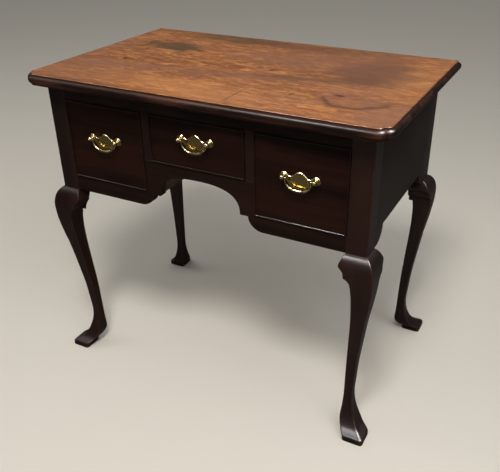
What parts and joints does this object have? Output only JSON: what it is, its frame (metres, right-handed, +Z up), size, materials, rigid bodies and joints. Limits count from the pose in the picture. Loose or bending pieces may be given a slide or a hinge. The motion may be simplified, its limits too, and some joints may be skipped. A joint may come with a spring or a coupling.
{
  "type": "lowboy",
  "caption": "Small dressing table with a moulded top, drawers in one row with brass bail handles, a shaped apron with a kneehole and square cabriole legs.",
  "frame": {"origin": "on the floor, under the middle of the top's outline", "axes": "+X to the right seen from the front, +Y from the front to the back, +Z up"},
  "size_m": [0.785, 0.49, 0.695],
  "materials": {
    "top_wood": "faded waxed mahogany, satin",
    "case_wood": "dark waxed mahogany, satin",
    "inner_wood": "bare aged oak and pine, matt",
    "handle_brass": "old polished brass"
  },
  "bodies": {
    "case": {"top_board": "top_wood", "leg_front_left": "case_wood", "leg_front_right": "case_wood", "leg_back_left": "case_wood", "leg_back_right": "case_wood", "bracket_front_left_side": "case_wood", "bracket_front_right_side": "case_wood", "bracket_back_left_side": "case_wood", "bracket_back_right_side": "case_wood", "bracket_front_left_front": "case_wood", "bracket_front_right_front": "case_wood", "top_rail": "case_wood", "apron": "case_wood", "divider_left": "case_wood", "divider_right": "case_wood", "side_panel_left": "case_wood", "side_panel_right": "case_wood", "back_panel": "inner_wood", "partition_left": "inner_wood", "partition_right": "inner_wood", "runner_left_outer": "inner_wood", "runner_left_inner": "inner_wood", "runner_right_outer": "inner_wood", "runner_right_inner": "inner_wood", "runner_centre_left": "inner_wood", "runner_centre_right": "inner_wood", "kicker_left": "inner_wood", "kicker_centre": "inner_wood", "kicker_right": "inner_wood"},
    "left_drawer": {"left_drawer_front": "case_wood", "left_drawer_cockbead": "case_wood", "left_drawer_side_left": "inner_wood", "left_drawer_side_right": "inner_wood", "left_drawer_back": "inner_wood", "left_drawer_bottom": "inner_wood", "left_handle_plate": "handle_brass", "left_handle_post_left": "handle_brass", "left_handle_post_right": "handle_brass"},
    "left_bail": {"left_handle_bail": "handle_brass"},
    "centre_drawer": {"centre_drawer_front": "case_wood", "centre_drawer_cockbead": "case_wood", "centre_drawer_side_left": "inner_wood", "centre_drawer_side_right": "inner_wood", "centre_drawer_back": "inner_wood", "centre_drawer_bottom": "inner_wood", "centre_handle_plate": "handle_brass", "centre_handle_post_left": "handle_brass", "centre_handle_post_right": "handle_brass"},
    "centre_bail": {"centre_handle_bail": "handle_brass"},
    "right_drawer": {"right_drawer_front": "case_wood", "right_drawer_cockbead": "case_wood", "right_drawer_side_left": "inner_wood", "right_drawer_side_right": "inner_wood", "right_drawer_back": "inner_wood", "right_drawer_bottom": "inner_wood", "right_handle_plate": "handle_brass", "right_handle_post_left": "handle_brass", "right_handle_post_right": "handle_brass"},
    "right_bail": {"right_handle_bail": "handle_brass"}
  },
  "joints": [
    {"name": "left_drawer_slide", "type": "slide", "parent": "case", "child": "left_drawer", "axis": [0, -1, 0], "range_m": [0, 0.3]},
    {"name": "left_bail_swing", "type": "hinge", "parent": "left_drawer", "child": "left_bail", "pos_m": [-0.22025, -0.218, 0.569], "axis": [-1, 0, 0], "range_deg": [-14, 197]},
    {"name": "centre_drawer_slide", "type": "slide", "parent": "case", "child": "centre_drawer", "axis": [0, -1, 0], "range_m": [0, 0.3]},
    {"name": "centre_bail_swing", "type": "hinge", "parent": "centre_drawer", "child": "centre_bail", "pos_m": [0, -0.218, 0.603], "axis": [-1, 0, 0], "range_deg": [-14, 197]},
    {"name": "right_drawer_slide", "type": "slide", "parent": "case", "child": "right_drawer", "axis": [0, -1, 0], "range_m": [0, 0.3]},
    {"name": "right_bail_swing", "type": "hinge", "parent": "right_drawer", "child": "right_bail", "pos_m": [0.22025, -0.218, 0.569], "axis": [-1, 0, 0], "range_deg": [-14, 197]}
  ]
}
